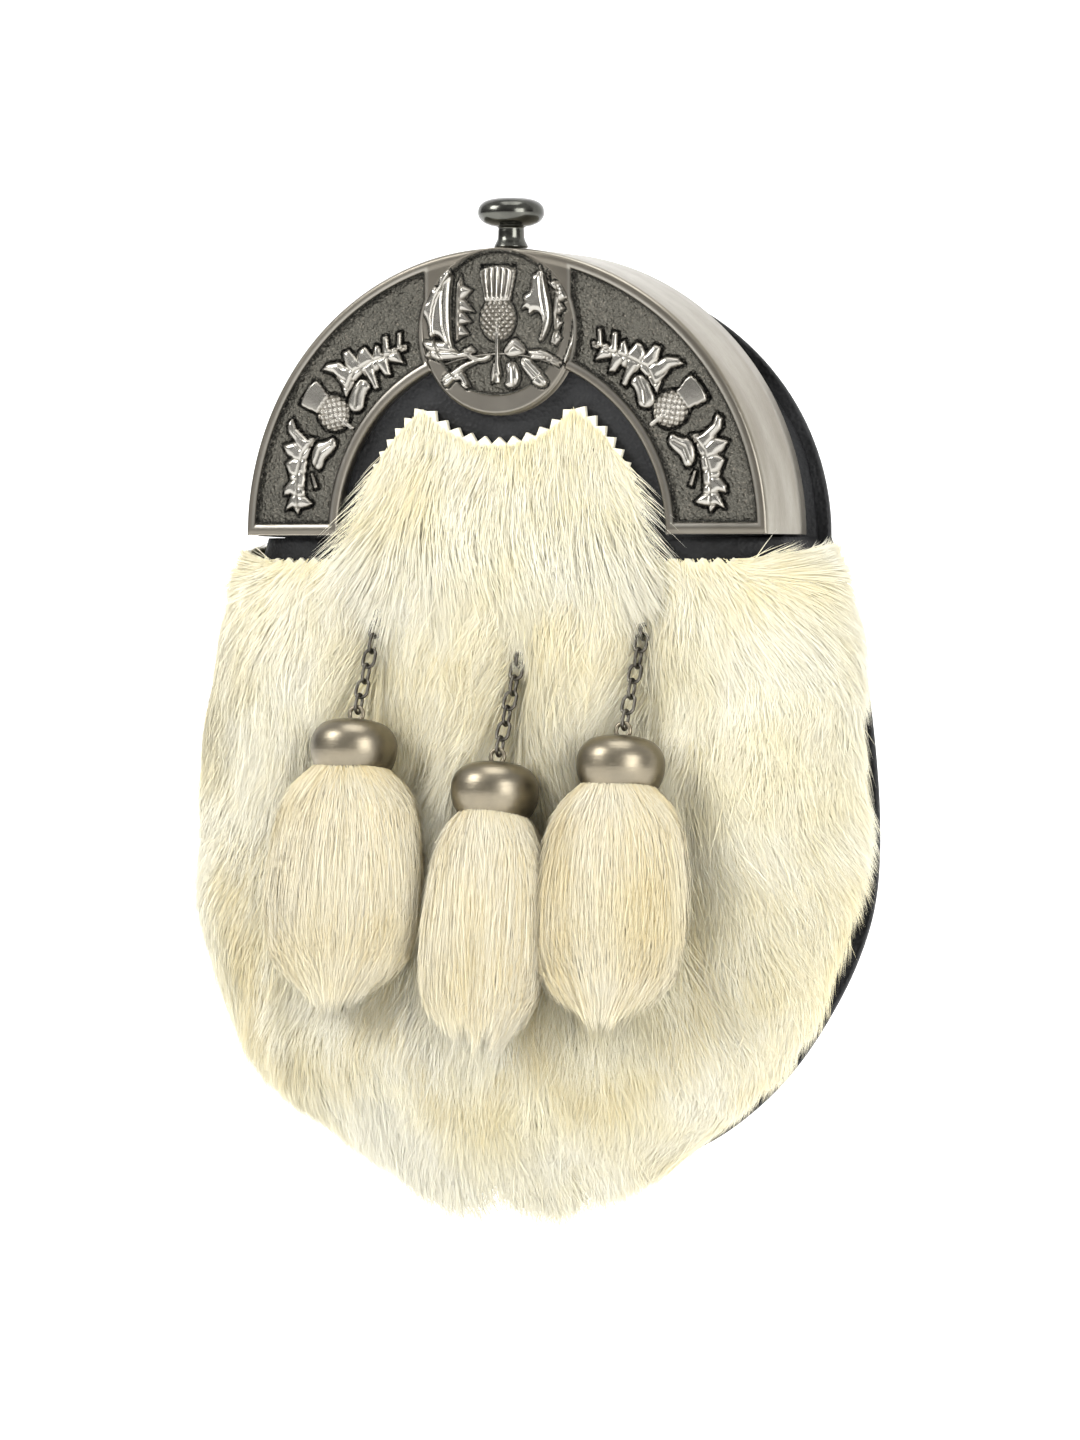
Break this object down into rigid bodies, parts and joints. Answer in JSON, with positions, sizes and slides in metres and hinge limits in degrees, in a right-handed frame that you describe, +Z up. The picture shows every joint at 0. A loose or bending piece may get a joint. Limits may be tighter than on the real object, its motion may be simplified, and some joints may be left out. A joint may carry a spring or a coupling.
{
  "type": "sporran pouch",
  "caption": "Dress sporran: black leather pouch with a fur front, cast metal arch with knob, fur tassels on chains, belt loops and a flap over the mouth at the back.",
  "frame": {"origin": "rear face of the back panel, midway between the two belt loops, where the sporran hangs on its strap", "axes": "+Z up as worn, front towards -Y, +X to the right seen from the front"},
  "size_m": [0.1882, 0.0871, 0.2678],
  "materials": {
    "pewter": "antiqued satin cast metal, darker in the ground",
    "chain_steel": "dark polished wire",
    "leather": "black grained, satin",
    "fur": "cream rabbit fur"
  },
  "bodies": {
    "root": {"cantle": "pewter", "cantle_knob": "pewter", "flap_stud": "pewter", "front_panel": "leather", "gusset": "leather", "back_panel": "leather", "back_flap": "leather", "belt_loop_left": "leather", "belt_loop_right": "leather", "fur_front": "fur", "chain_eye_left": "chain_steel", "chain_left": "chain_steel", "cup_left": "pewter", "tassel_left": "fur", "chain_eye_middle": "chain_steel", "chain_middle": "chain_steel", "cup_middle": "pewter", "tassel_middle": "fur", "chain_eye_right": "chain_steel", "chain_right": "chain_steel", "cup_right": "pewter", "tassel_right": "fur"}
  },
  "joints": []
}
